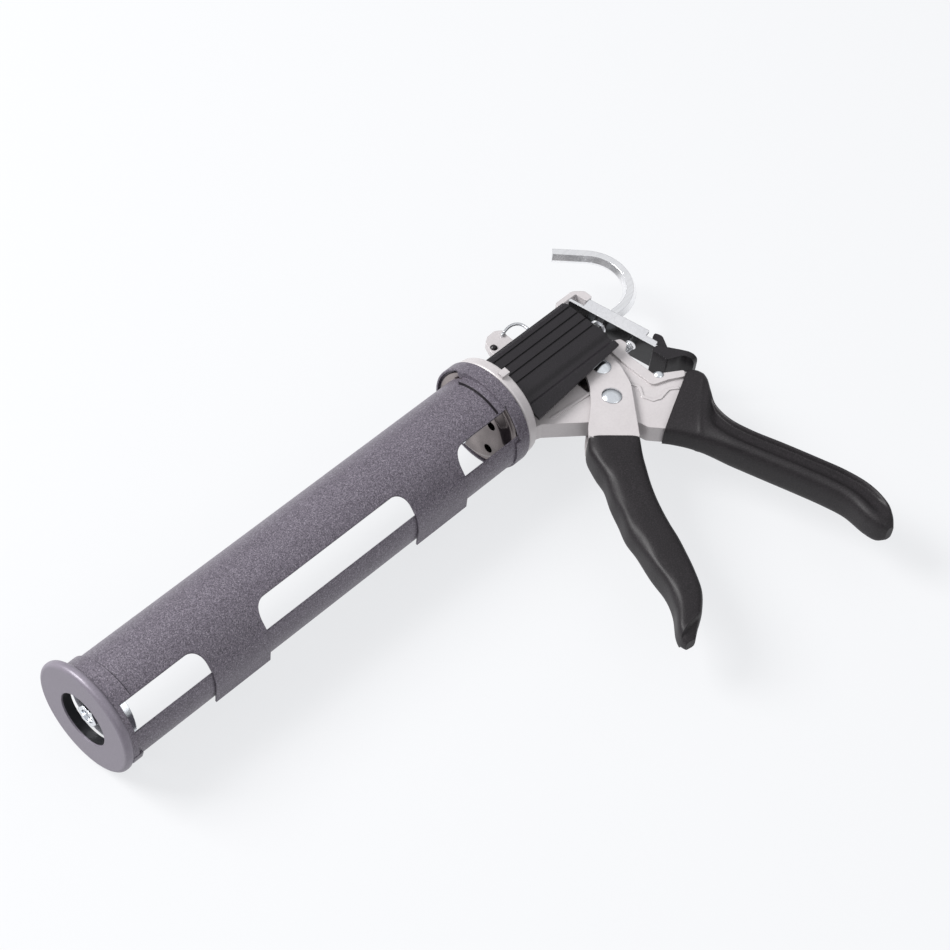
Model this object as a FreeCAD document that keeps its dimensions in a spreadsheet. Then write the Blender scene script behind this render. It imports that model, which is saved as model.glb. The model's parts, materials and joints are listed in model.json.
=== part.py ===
import FreeCAD, Part
import math
import os

# Caulking gun with a skeleton barrel, a cast frame and a friction rod drive.
# Frame of the part: origin at the centre of the nozzle hole, on the cap's front face.
# +X is the way the nozzle points, +Y is towards the handles, +Z is the gun's left side.

doc = FreeCAD.newDocument("caulking_gun")
Vec = FreeCAD.Vector
X_AXIS = Vec(1, 0, 0)
Y_AXIS = Vec(0, 1, 0)
Z_AXIS = Vec(0, 0, 1)
ALONG_X = FreeCAD.Rotation(Y_AXIS, 90)

SIZES = {
    # barrel
    "shell_outer": 26.2, "shell_wall": 0.9, "shell_drop": 2.8,
    "shell_front": -5.0, "shell_rear": -261.4,
    "window_top": 16.4, "window_corner": 7.5,
    "window_a_rear": -55.0, "window_b_front": -89.5, "window_b_rear": -188.5,
    "window_c_front": -223.5, "shell_edge_angle": 272.0, "band_swell": 1.1,
    "rail_from": 66.0, "rail_to": 106.0, "band_flat": 9.5,
    # front cap
    "flange_r": 30.5, "flange_t": 5.0, "flange_round": 2.1, "nozzle_r": 14.8,
    "skirt_len": 2.6, "skirt_wall": 1.0, "tab_len": 9.6, "cap_wall": 1.6,
    "sleeve_len": 6.0, "sleeve_r": 15.4, "sleeve_wall": 1.2,
    # rear collar and the ring it turns on
    "collar_outer": 29.5, "collar_wall": 1.2, "collar_front": -262.2, "collar_len": 7.0,
    "collar_tab_len": 5.2, "ring_r": 29.0, "ring_front": -269.6, "ring_len": 6.8,
    "lip_front": -264.3, "lip_inner": 24.6, "lip_t": 1.2, "spigot_r": 24.5,
    # retaining plate
    "plate_r": 27.0, "plate_t": 1.6, "plate_x": -262.6, "plate_lift": 4.6,
    "plate_hub_r": 20.0, "plate_foot_r": 23.0, "plate_hole_r": 2.6,
    "screw_head_r": 3.4, "screw_head_t": 1.8, "screw_r": 1.9, "screw_len": 14.0, "screw_circle": 15.1,
    # rod
    "rod_flats": 6.4, "rod_front": -4.4, "rod_bend_x": -370.4, "hook_r": 22.3, "hook_turn": 134.0,
    "hook_tail": 18.5, "bore_gap": 0.06,
    # plunger
    "plunger_r": 21.0, "plunger_x": -9.6, "plunger_t": 1.5, "plunger_rim": 4.5,
    "nut_flats": 11.0, "nut_t": 4.2, "washer_r": 9.0, "washer_t": 1.4,
    # frame
    "web_half": 5.4, "bead_rise": 1.3, "arm_y": -16.6, "wall_front": -284.0, "wall_rear": -338.0,
    "frame_rear": -345.0, "cavity_top": -11.0, "cavity_low": 13.5,
    # housing cover
    "cover_front": -277.0, "cover_rear": -343.2, "cover_half": 14.5, "cover_top": -18.2,
    "cover_low": 27.2, "cover_low_rear": 21.8, "cover_wall": 1.5,
    "swell_low": 12.0, "hollow_d": 1.7, "lip_d": 0.5, "cover_far_low": 21.5,
    "groove_w": 0.9, "groove_d": 0.7, "groove_first": -12.4, "groove_pitch": 5.6,
    # trigger
    "pivot_x": -318.4, "pivot_y": 39.9, "pivot_r": 3.0, "rivet_head_r": 5.3, "rivet_head_t": 1.8,
    "cheek_in": 6.2, "cheek_out": 8.4, "pin_x": -329.2, "pin_y": 23.3, "pin_r": 3.0,
    # drive
    "dog_half": 4.6, "grip_plate_t": 2.4, "spring_r": 6.4, "spring_wire": 1.2, "spring_turns": 9.0,
    "bush_r": 6.6, "bush_lip_r": 8.4, "bush_lip_t": 1.2,
    # release lever
    "lever_tilt": 10.4, "lever_t": 1.8, "lever_half": 8.0, "flange_w": 7.4,
    "lever_bore_gap": 0.7, "tab_low": 52.2, "tab_corner": 6.0,
    # piercing wire
    "wire_r": 0.85, "wire_pivot_x": -310.6, "wire_pivot_y": -28.8, "lug_half": 2.0,
    "stud_x": -301.6, "stud_y": -26.2, "stud_r": 1.2,
}

sheet = doc.addObject("Spreadsheet::Sheet", "Sizes")
for row, (alias, value) in enumerate(SIZES.items(), start=1):
    sheet.set("A%d" % row, alias)
    sheet.set("B%d" % row, str(value))
    sheet.setAlias("B%d" % row, alias)
doc.recompute()


def size(alias):
    return float(sheet.get(alias))


def bind(obj, **properties):
    """Bind properties of obj to sheet expressions, with dots written as double underscores."""
    for name, expression in properties.items():
        obj.setExpression(name.replace("__", "."), expression)
    return obj


def cell(alias):
    return "Sizes." + alias


NODES = []


def keep(obj, name):
    """Mark obj as a finished sub-part called name."""
    obj.Label = name
    NODES.append(obj)
    return obj


# ---------------------------------------------------------------- small builders

def cylinder_x(name, radius, length, x):
    """A cylinder along +X from x, with its sizes given as expressions."""
    obj = doc.addObject("Part::Cylinder", name)
    obj.Placement = FreeCAD.Placement(Vec(0, 0, 0), ALONG_X)
    return bind(obj, Radius=radius, Height=length, Placement__Base__x=x)


def cut(name, base, tool):
    obj = doc.addObject("Part::Cut", name)
    obj.Base = base
    obj.Tool = tool
    return obj


def fuse(name, *pieces):
    obj = doc.addObject("Part::MultiFuse", name)
    obj.Shapes = list(pieces)
    return obj


def group(name, *pieces):
    obj = doc.addObject("Part::Compound", name)
    obj.Links = list(pieces)
    return obj


def solid(name, shape):
    """A Part::Feature whose shape comes from the sheet through this script's own code."""
    obj = doc.addObject("Part::Feature", name)
    obj.Shape = shape
    obj.Placement = FreeCAD.Placement()
    return obj


def rounded(points, plane="XY", closed=True):
    """Edges through points (a, b, radius); each corner with a radius becomes a tangent arc."""
    def place(a, b):
        return Vec(a, b, 0) if plane == "XY" else Vec(0, a, b)
    count = len(points)
    stops = []
    for index, (a, b, radius) in enumerate(points):
        here = place(a, b)
        if radius == 0 or (not closed and index in (0, count - 1)):
            stops.append((here, None, here))
            continue
        back = place(*points[index - 1][:2]) - here
        ahead = place(*points[(index + 1) % count][:2]) - here
        room = 0.48 * min(back.Length, ahead.Length)
        back.normalize()
        ahead.normalize()
        half = back.getAngle(ahead) / 2
        radius = min(radius, room * math.tan(half))
        reach = radius / math.tan(half)
        middle = back + ahead
        middle.normalize()
        crown = here + middle * (radius / math.sin(half) - radius)
        stops.append((here + back * reach, crown, here + ahead * reach))
    edges = []
    for index, (enter, crown, leave) in enumerate(stops):
        if crown is not None:
            edges.append(Part.Arc(enter, crown, leave))
        if closed or index < count - 1:
            following = stops[(index + 1) % count][0]
            if (following - leave).Length > 1e-6:
                edges.append(Part.LineSegment(leave, following))
    return edges


def plane_of(body, role):
    return next(f for f in body.Origin.OriginFeatures if f.Role == role)


def outline_body(name, points, length, plane="XY_Plane", reverse=False):
    """A PartDesign body padded from a rounded outline, evenly about the plane."""
    body = doc.addObject("PartDesign::Body", name)
    sketch = body.newObject("Sketcher::SketchObject", name + "_sketch")
    sketch.AttachmentSupport = [(plane_of(body, plane), "")]
    sketch.MapMode = "FlatFace"
    sketch.addGeometry(rounded(points), False)
    pad = body.newObject("PartDesign::Pad", name + "_pad")
    pad.Profile = sketch
    pad.SideType = "Symmetric"
    pad.Reversed = reverse
    bind(pad, Length=length)
    body.Tip = pad
    sketch.Visibility = False
    return body


def turned_body(name, points):
    """A PartDesign body revolved about the X axis from points (x, r, corner radius)."""
    body = doc.addObject("PartDesign::Body", name)
    sketch = body.newObject("Sketcher::SketchObject", name + "_sketch")
    sketch.AttachmentSupport = [(plane_of(body, "XY_Plane"), "")]
    sketch.MapMode = "FlatFace"
    sketch.addGeometry(rounded(points), False)
    turn = body.newObject("PartDesign::Revolution", name + "_turn")
    turn.Profile = sketch
    turn.ReferenceAxis = (sketch, ["H_Axis"])
    turn.Angle = 360
    body.Tip = turn
    return body


def ring_sector(inner, outer, from_angle, to_angle, x_low, x_high, drop):
    """Part of a tube about X; angles run from +Z towards +Y, drop moves it along +Y."""
    def at(radius, angle):
        a = math.radians(angle)
        return Vec(x_low, drop + radius * math.sin(a), radius * math.cos(a))
    middle = (from_angle + to_angle) / 2
    wire = Part.Wire([
        Part.Arc(at(outer, from_angle), at(outer, middle), at(outer, to_angle)).toShape(),
        Part.LineSegment(at(outer, to_angle), at(inner, to_angle)).toShape(),
        Part.Arc(at(inner, to_angle), at(inner, middle), at(inner, from_angle)).toShape(),
        Part.LineSegment(at(inner, from_angle), at(outer, from_angle)).toShape(),
    ])
    return Part.Face(wire).extrude(Vec(x_high - x_low, 0, 0))


def hex_prism(flats, x_low, x_high):
    """A hexagonal bar about the X axis with two of its flats facing +Z and -Z."""
    corner = flats / math.sqrt(3)
    ring = [Vec(x_low, corner * math.cos(math.radians(60 * k)), corner * math.sin(math.radians(60 * k)))
            for k in range(6)]
    return Part.Face(Part.makePolygon(ring + ring[:1])).extrude(Vec(x_high - x_low, 0, 0))


# ---------------------------------------------------------------- barrel

def build_barrel_shell():
    """Rolled sheet: most of a half pipe, with two bands that reach round to the rail."""
    outer = size("shell_outer")
    inner = outer - size("shell_wall")
    drop = size("shell_drop")
    swell = size("band_swell")
    low = size("shell_rear")
    high = size("shell_front")
    start = size("shell_edge_angle") - 360
    half_pipe = ring_sector(inner, outer, start, 50, low, high, drop)

    def at(radius, angle):
        a = math.radians(angle)
        return Vec(low, drop + radius * math.sin(a), radius * math.cos(a))
    flat_z = -size("band_flat")
    out_wide = outer + swell
    in_wide = inner + swell
    edges = [
        Part.LineSegment(at(outer, 49), at(out_wide, 66)),
        Part.Arc(at(out_wide, 66), at(out_wide, 78), at(out_wide, 90)),
        Part.LineSegment(at(out_wide, 90), Vec(low, drop + out_wide, flat_z)),
        Part.LineSegment(Vec(low, drop + out_wide, flat_z), Vec(low, drop + in_wide, flat_z)),
        Part.LineSegment(Vec(low, drop + in_wide, flat_z), at(in_wide, 90)),
        Part.Arc(at(in_wide, 90), at(in_wide, 78), at(in_wide, 66)),
        Part.LineSegment(at(in_wide, 66), at(inner, 49)),
        Part.LineSegment(at(inner, 49), at(outer, 49)),
    ]
    band = Part.Face(Part.Wire([e.toShape() for e in edges])).extrude(Vec(high - low, 0, 0))
    shape = half_pipe.fuse(band)

    top = size("window_top")
    corner = size("window_corner")
    far = 60.0
    spans = [(size("window_a_rear"), high + 20, corner, 0),
             (size("window_b_rear"), size("window_b_front"), corner, corner),
             (low - 20, size("window_c_front"), 0, corner)]
    for rear, front, rear_round, front_round in spans:
        outline = rounded([(rear, top, rear_round), (front, top, front_round),
                           (front, far, 0), (rear, far, 0)])
        window = Part.Face(Part.Wire([e.toShape() for e in outline]))
        window.translate(Vec(0, 0, -far))
        shape = shape.cut(window.extrude(Vec(0, 0, 2 * far)))
    return keep(solid("barrel_shell", shape.removeSplitter()), "barrel_shell")


def build_barrel_rail():
    """The strip along the bottom that ties the cap, the bands and the collar together."""
    outer = size("shell_outer") + 0.12
    inner = outer - size("shell_wall")
    shape = ring_sector(inner, outer, size("rail_from"), size("rail_to"),
                        size("collar_front") + 0.4, -size("flange_t") - 0.05, size("shell_drop"))
    return keep(solid("barrel_rail", shape), "barrel_rail")


def build_front_cap():
    """Round cap with a turned rim, the nozzle hole and its sleeve, a short skirt and a welded tab."""
    round_r = size("flange_round")
    thick = size("flange_t")
    wall = size("cap_wall")
    rim = size("flange_r")
    shell = size("shell_outer")
    drop = size("shell_drop")
    hole = size("nozzle_r")
    sleeve = size("sleeve_r")
    sleeve_end = size("sleeve_len")
    pocket = shell - drop - size("shell_wall") - 0.4
    disc = turned_body("cap_disc", [
        (0, hole, 0), (0, rim, round_r), (-thick, rim, round_r),
        (-thick, pocket, 0), (-wall, pocket, 0), (-wall, sleeve + size("sleeve_wall"), 0),
        (-sleeve_end, sleeve + size("sleeve_wall"), 0), (-sleeve_end, sleeve, 0),
        (-wall, sleeve, 0), (-wall, hole, 0)])
    skirt_in = shell + 0.15
    skirt_out = skirt_in + size("skirt_wall")
    rear = -thick - size("skirt_len")
    skirt = ring_sector(skirt_in, skirt_out, -95, 108, rear, -thick + 0.6, drop)
    tab = ring_sector(skirt_in, skirt_out, -80, 31, -thick - size("tab_len"), -thick + 0.6, drop)
    foot = ring_sector(shell + 0.17, skirt_out + 0.3, 96, 107, -thick - 4.8, -thick + 0.6, drop)
    collar = solid("cap_skirt", skirt.fuse(tab).fuse(foot).removeSplitter())
    return keep(fuse("front_cap", disc, collar), "front_cap")


def build_rear_collar():
    """Pressed ring that carries the barrel on the frame, with a tab over the shell."""
    outer = size("collar_outer")
    wall = size("collar_wall")
    front = size("collar_front")
    rear = front - size("collar_len")
    lip = size("lip_front")
    lip_in = size("lip_inner")
    ring = turned_body("collar_ring", [
        (front, outer, 0.5), (rear, outer, 0.5), (rear, outer - wall, 0),
        (lip - size("lip_t"), outer - wall, 0), (lip - size("lip_t"), lip_in, 0),
        (lip, lip_in, 0), (lip, outer - wall, 0), (front, outer - wall, 0)])
    shell = size("shell_outer") + 0.05
    drop = size("shell_drop")
    tab = ring_sector(shell, shell + 1.2, -32, 31, front + 0.3, front + size("collar_tab_len"), drop)
    foot = ring_sector(shell + 0.15, shell + 1.0, 72, 104, front - 0.8, front + 3.0, drop)
    lead = ring_sector(outer - wall, outer, -34, 33, front - 0.6, front + 1.3, 0)
    step = ring_sector(shell - 1.0, outer - 0.4, -34, 33, front + 0.3, front + 1.3, 0)
    step = step.cut(ring_sector(shell - 8, shell, -60, 60, front, front + 2, drop))
    web = solid("collar_tabs", tab.fuse([foot, lead, step]).removeSplitter())
    return keep(fuse("rear_collar", ring, web), "rear_collar")


# ---------------------------------------------------------------- plate, screws

OPEN_HOLES = (54, 126)
SCREW_ANGLES = (198, 270, 342)


def build_retaining_plate():
    """Dished steel plate that holds the barrel's collar against the frame ring."""
    radius = size("plate_r")
    x = size("plate_x")
    t = size("plate_t")
    lift = size("plate_lift")
    hub = size("plate_hub_r")
    foot = size("plate_foot_r")
    bore = size("rod_flats") / math.sqrt(3) + 0.8
    dish = turned_body("plate_dish", [
        (x - t, radius, 0.6), (x, radius, 0.6), (x, foot, 2.0), (x + lift, hub, 3.0),
        (x + lift, bore, 0), (x + lift - t, bore, 0), (x + lift - t, hub - 0.5, 1.6),
        (x - t, foot - 0.5, 1.0)])
    holes = []
    for k, angle in enumerate(OPEN_HOLES + SCREW_ANGLES):
        a = math.radians(angle)
        width = cell("plate_hole_r") if angle in OPEN_HOLES else cell("screw_r") + " + 0.1"
        hole = cylinder_x("plate_hole_%d" % k, width, "12", cell("plate_x") + " - 5")
        bind(hole, Placement__Base__y="%s * %.6f" % (cell("screw_circle"), math.sin(a)),
             Placement__Base__z="%s * %.6f" % (cell("screw_circle"), math.cos(a)))
        holes.append(hole)
    return keep(cut("retaining_plate", dish, fuse("plate_holes", *holes)), "retaining_plate")


def build_plate_screws():
    """Three pan head screws through the plate into the frame ring."""
    screws = []
    reach = size("screw_circle")
    for k, angle in enumerate(SCREW_ANGLES):
        a = math.radians(angle)
        seat = Vec(size("plate_x") + size("plate_lift"), reach * math.sin(a), reach * math.cos(a))
        shank = Part.makeCylinder(size("screw_r"), size("screw_len"), seat, X_AXIS * -1)
        head = Part.makeCylinder(size("screw_head_r"), size("screw_head_t"), seat, X_AXIS)
        slot = Part.makeBox(1.0, 4.4, 0.9, seat + Vec(size("screw_head_t") - 0.8, -2.2, -0.45))
        screws.append(solid("plate_screw_%d" % k, shank.fuse(head).cut(slot).removeSplitter()))
    return keep(group("plate_screws", *screws), "plate_screws")


# ---------------------------------------------------------------- rod and plunger

def build_push_rod():
    """Hexagonal bar along the axis that ends behind the handles in a pulling hook."""
    flats = size("rod_flats")
    corner = flats / math.sqrt(3)
    bend_x = size("rod_bend_x")
    radius = size("hook_r")
    turn = math.radians(size("hook_turn"))
    section = Part.Wire(Part.makePolygon(
        [Vec(bend_x, corner * math.cos(math.radians(60 * k)), corner * math.sin(math.radians(60 * k)))
         for k in range(7)]).Edges)
    bar = hex_prism(flats, bend_x, size("rod_front"))
    centre = Vec(bend_x, -radius, 0)
    hook = Part.Face(section).revolve(centre, Z_AXIS, math.degrees(turn))
    tip_way = Vec(-math.cos(turn), -math.sin(turn), 0)
    cap_face = max(hook.Faces, key=lambda f: (f.CenterOfMass - (centre + Vec(
        -radius * math.sin(turn), radius * math.cos(turn), 0))).Length * -1)
    tip = cap_face.extrude(tip_way * size("hook_tail"))
    shape = bar.fuse([hook, tip]).removeSplitter()
    return keep(solid("push_rod", shape), "push_rod")


def build_plunger():
    """Pressed disc that pushes the cartridge's piston, with a washer and nuts on the rod."""
    x = size("plunger_x")
    r = size("plunger_r")
    t = size("plunger_t")
    bore = size("rod_flats") / math.sqrt(3) + 0.02
    disc = turned_body("plunger_disc_blank", [
        (x + t, bore, 0), (x + t, r - 3.0, 1.6), (x - 1.0, r, 1.0), (x - size("plunger_rim"), r, 0),
        (x - size("plunger_rim"), r - t, 0), (x - 1.4, r - t, 0.6), (x, r - 4.0, 1.0), (x, bore, 0)])
    keep(disc, "plunger_disc")
    washer = turned_body("rod_washer_blank", [
        (x + t + 0.02, bore, 0), (x + t + 0.02, size("washer_r"), 0),
        (x + t + size("washer_t"), size("washer_r"), 0.4), (x + t + size("washer_t"), bore, 0)])
    keep(washer, "rod_washer")
    nuts = []
    for index, start in enumerate((x + t + size("washer_t") + 0.02, x - size("nut_t") - 0.02)):
        nut = hex_prism(size("nut_flats"), start, start + size("nut_t"))
        hole = Part.makeCylinder(bore, size("nut_t") + 2, Vec(start - 1, 0, 0), X_AXIS)
        nuts.append(solid("rod_nut_%d" % index, nut.cut(hole)))
    keep(nuts[0], "front_nut")
    keep(nuts[1], "rear_nut")


# ---------------------------------------------------------------- frame

def build_frame():
    """Cast frame: ring and spigot for the barrel, web, rod supports, top hook, handle core."""
    top = size("arm_y")
    front = size("ring_front")
    rear = size("frame_rear")
    half = size("web_half")
    web = outline_body("frame_web", [
        (front - 2, top, 0), (rear + 1.6, top, 0.5), (rear, top - 7.0, 2), (rear - 13.5, top - 7.0, 5),
        (rear - 18.5, top - 2.5, 2), (rear - 18.5, top + 3.0, 1), (rear - 14.0, top + 3.0, 1),
        (rear - 13.4, top - 4.2, 1), (rear - 0.6, top - 4.2, 1),
        (rear, top + 6, 0), (rear, 14.5, 1), (rear - 3.4, 14.8, 1.5), (rear - 6.6, 16.5, 2),
        (rear - 7.0, 20.8, 2), (rear - 2.4, 23.6, 2), (rear - 1.4, 30, 3), (rear - 1.6, 44.6, 3),
        (rear - 6.5, 47.3, 3), (rear - 15.5, 53.0, 5), (rear - 19.6, 58.0, 4), (rear - 13.5, 66.0, 6),
        (rear - 3.6, 85, 20), (rear - 7.6, 105, 40), (rear - 14.0, 128, 40), (rear - 21.2, 151, 40),
        (rear - 23.8, 168, 30), (rear - 21.0, 179, 4), (rear - 13.0, 179, 4), (rear - 13.2, 167, 30),
        (rear - 10.0, 150, 40), (rear - 2.8, 127, 40), (rear + 3.8, 104, 40), (rear + 9.0, 84, 14),
        (-319.0, 65.0, 4), (-317.4, 58.7, 8), (-298.7, 42.2, 30), (-280.5, 27.4, 2),
        (front - 2, 24.4, 0)], "2 * " + cell("web_half"))
    ring = turned_body("frame_ring", [
        (front, 0, 0), (front, size("ring_r"), 1.2), (front - size("ring_len"), size("ring_r") - 0.9, 1.6),
        (front - size("ring_len"), 12.4, 0.5), (size("wall_front"), 11.6, 2.0), (size("wall_front"), 0, 0)])
    spigot = cylinder_x("frame_spigot", cell("spigot_r"), "%s - %s - %s - 0.05" % (
        cell("plate_x"), cell("plate_t"), cell("ring_front")), cell("ring_front"))
    boss = turned_body("frame_rear_boss", [
        (size("wall_rear"), 0, 0), (size("wall_rear"), 9.8, 1.0), (rear, 9.8, 1.0), (rear, 0, 0)])
    lug = solid("ring_lug", ring_sector(size("ring_r") - 2, size("ring_r") + 1.8, 3, 10,
                                        front - size("ring_len") + 0.2, front - 1.6, 0))
    hanger = solid("wire_hanger", hanger_shape())
    bead = solid("frame_beads", bead_shape())
    blank = fuse("frame_blank", web, ring, spigot, boss, hanger, bead, lug)

    far = 2 * half + 20
    cavity = solid("frame_cavity", prism_z([
        (size("wall_front"), size("cavity_top"), 2), (size("wall_rear"), size("cavity_top"), 2),
        (size("wall_rear"), 29.5, 2), (-313.0, 29.5, 2), (-313.0, size("cavity_low"), 2),
        (size("wall_front"), size("cavity_low"), 2)], far))
    bush_bore = size("bush_r") + 0.02
    bore_a = Part.makeCylinder(bush_bore, 40, Vec(size("wall_front") - 5, 0, 0), X_AXIS)
    bore_b = Part.makeCylinder(bush_bore, 30, Vec(rear - 10, 0, 0), X_AXIS)
    pivot = Part.makeCylinder(size("pivot_r") + 0.02, 40, Vec(size("pivot_x"), size("pivot_y"), -20), Z_AXIS)
    pin = Part.makeCylinder(1.52, 40, Vec(rear - 3.4, 45.9, -20), Z_AXIS)
    wire = Part.makeCylinder(size("wire_r") + 0.05, 40,
                             Vec(size("wire_pivot_x"), size("wire_pivot_y"), -20), Z_AXIS)
    rest = Part.makeCylinder(size("stud_r") + 0.02, 40, Vec(size("stud_x"), size("stud_y"), -20), Z_AXIS)
    holes = bore_a.fuse([bore_b, pivot, pin, wire, rest])
    reach = size("screw_circle")
    for angle in SCREW_ANGLES:
        a = math.radians(angle)
        seat = Vec(size("plate_x"), reach * math.sin(a), reach * math.cos(a))
        screw = Part.makeCylinder(size("screw_r") + 0.02, size("screw_len") + 1, seat, X_AXIS * -1)
        holes = holes.fuse(screw)
    tools = fuse("frame_tools", cavity, solid("frame_holes", holes))
    return keep(cut("frame", blank, tools), "frame")


def prism_z(points, thickness):
    """A rounded outline in the XY plane made into a plate, evenly about that plane."""
    face = Part.Face(Part.Wire([e.toShape() for e in rounded(points)]))
    face.translate(Vec(0, 0, -thickness / 2))
    return face.extrude(Vec(0, 0, thickness))


def hanger_shape():
    """Lug on top of the frame that carries the wire for piercing a cartridge's seal."""
    root = size("arm_y") + 2
    return prism_z([
        (-296.5, root, 0), (-298.6, -26.0, 2), (-301.0, -31.6, 2), (-304.5, -33.6, 2), (-310.0, -33.8, 2.5),
        (-313.8, -31.4, 2), (-312.9, -28.0, 2), (-312.5, root, 0)], 2 * size("lug_half"))


def bead_shape():
    """Raised strengthening beads on both faces of the web."""
    rear = size("frame_rear")
    thick = 2 * (size("web_half") + size("bead_rise"))
    upper = prism_z([
        (rear - 2.8, 14.8, 1.5), (rear - 6.6, 16.5, 2), (rear - 7.0, 20.8, 2), (rear - 2.4, 23.6, 2),
        (rear - 1.4, 30, 3), (rear - 1.6, 44.6, 3), (rear - 6.5, 47.3, 3), (rear - 15.5, 53.0, 1),
        (rear - 12.5, 56.0, 1), (rear - 4.5, 51.6, 3), (rear + 4.4, 48.5, 3), (rear + 4.4, 30, 3),
        (rear + 3.2, 16.0, 1)], thick)
    middle = prism_z([
        (-332.9, 40.3, 0.4), (-334.6, 44.0, 2), (-330.8, 49.6, 2), (-333.2, 55.4, 2), (-337.6, 57.3, 3),
        (-345.4, 56.1, 3), (-349.7, 59.3, 0.4), (-350.7, 57.8, 0.4), (-345.6, 54.5, 3), (-338.0, 55.7, 3),
        (-334.6, 54.2, 2), (-332.5, 49.8, 2), (-336.3, 44.2, 2), (-334.4, 39.8, 0.4)], thick - 1.6)
    front = prism_z([
        (-285.4, 26.8, 0.4), (-313.9, 29.2, 0.4), (-313.9, 30.8, 0.4), (-287.4, 28.5, 0.4)], thick - 1.6)
    return upper.fuse([middle, front])


def build_pins():
    """Rivets: the trigger's pivot in the frame, and the small stop pin behind it."""
    out = size("cheek_out") + 0.1
    head = size("rivet_head_t")
    shank = Part.makeCylinder(size("pivot_r"), 2 * out, Vec(0, 0, -out), Z_AXIS)
    shape = shank
    for way in (1, -1):
        shape = shape.fuse(dome(size("rivet_head_r"), head, out, way))
    shape.translate(Vec(size("pivot_x"), size("pivot_y"), 0))
    keep(solid("trigger_pivot", shape.removeSplitter()), "trigger_pivot")
    reach = size("web_half") + size("bead_rise") + 0.02
    pin = Part.makeCylinder(1.5, 2 * reach, Vec(0, 0, -reach), Z_AXIS)
    for way in (1, -1):
        pin = pin.fuse(dome(2.6, 1.2, reach, way))
    pin.translate(Vec(size("frame_rear") - 3.4, 45.9, 0))
    keep(solid("stop_pin", pin.removeSplitter()), "stop_pin")


def dome(radius, height, start, way):
    """A rivet head: a low ball segment on a flat face at z = start, on the +Z or -Z side."""
    ball = (radius * radius + height * height) / (2 * height)
    sphere = Part.makeSphere(ball, Vec(0, 0, way * (start + height - ball)))
    keep_box = Part.makeBox(4 * radius, 4 * radius, height + 1,
                            Vec(-2 * radius, -2 * radius, start if way > 0 else -start - height - 1))
    return sphere.common(keep_box)


# ---------------------------------------------------------------- housing cover

def build_housing_cover():
    """Black cover over the drive: open below, ribbed on both sides."""
    half = size("cover_half")
    top = size("cover_top")
    wall = size("cover_wall")
    low = size("cover_low")
    swell = size("swell_low")
    front = size("cover_front")
    rear = size("cover_rear")

    def outline(inset, bottom):
        h = half - inset
        waist = h - size("hollow_d")
        side = [(top + inset, h - 2.2, 3), (top + inset + 4, h, 4), (swell, h, 3), (swell + 2.6, waist, 2),
                (swell + 5.0, waist, 2), (swell + 7.0, h - size("lip_d"), 2), (bottom, waist, 0)]
        return side + [(y, -z, corner) for y, z, corner in reversed(side)]

    def bar(points, x_low, x_high):
        face = Part.Face(Part.Wire([e.toShape() for e in rounded(points, "YZ")]))
        face.translate(Vec(x_low, 0, 0))
        return face.extrude(Vec(x_high - x_low, 0, 0))
    shape = bar(outline(0, low), rear, front)
    shape = shape.cut(bar(outline(wall, low + 1), rear - 1, front + 1))
    far = 4 * half
    low_rear = size("cover_low_rear")
    shape = shape.cut(prism_z([
        (front, low, 0), (front, far, 0), (rear, far, 0), (rear, low_rear, 0)], far))
    shape = shape.cut(Part.makeBox(front - rear + 2, far, far, Vec(rear - 1, size("cover_far_low"), -far)))
    width = size("groove_w")
    depth = size("groove_d")
    grooves = [(size("groove_first") + k * size("groove_pitch"), depth) for k in range(4)]
    grooves.append((top + 1.4, depth + 1.1))
    for y, deep in grooves:
        for start in (half - deep, -half - 1):
            groove = Part.makeBox(front - rear + 2, width, deep + 1, Vec(rear - 1, y - width / 2, start))
            shape = shape.cut(groove)
    for z in (-5.2, 0, 5.2):
        groove = Part.makeBox(front - rear + 2, depth + 1, width, Vec(rear - 1, top - 1, z - width / 2))
        shape = shape.cut(groove)
    x = size("wire_pivot_x")
    slot = Part.makeBox(20, wall + 3, 5.4, Vec(x - 4, top - 1.5, -2.7))
    shape = shape.cut(slot)
    return keep(solid("housing_cover", shape.removeSplitter()), "housing_cover")


# ---------------------------------------------------------------- drive

def build_bushes():
    """Two flanged steel bushes that guide the rod in the frame."""
    bore = size("rod_flats") / math.sqrt(3) + size("bore_gap")
    r = size("bush_r")
    lip_r = size("bush_lip_r")
    lip_t = size("bush_lip_t")
    wall = size("wall_front")
    front = turned_body("front_bush_blank", [
        (wall - lip_t, bore, 0), (wall - lip_t, lip_r, 0.3), (wall - 0.02, lip_r, 0), (wall - 0.02, r, 0),
        (wall + 14, r, 0), (wall + 14, bore, 0)])
    keep(front, "front_bush")
    rear = size("frame_rear")
    back = turned_body("rear_bush_blank", [
        (rear - lip_t - 0.02, bore, 0), (rear - lip_t - 0.02, lip_r, 0.3), (rear - 0.02, lip_r, 0),
        (rear - 0.02, r, 0), (rear + 7, r, 0), (rear + 7, bore, 0)])
    keep(back, "rear_bush")


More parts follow.
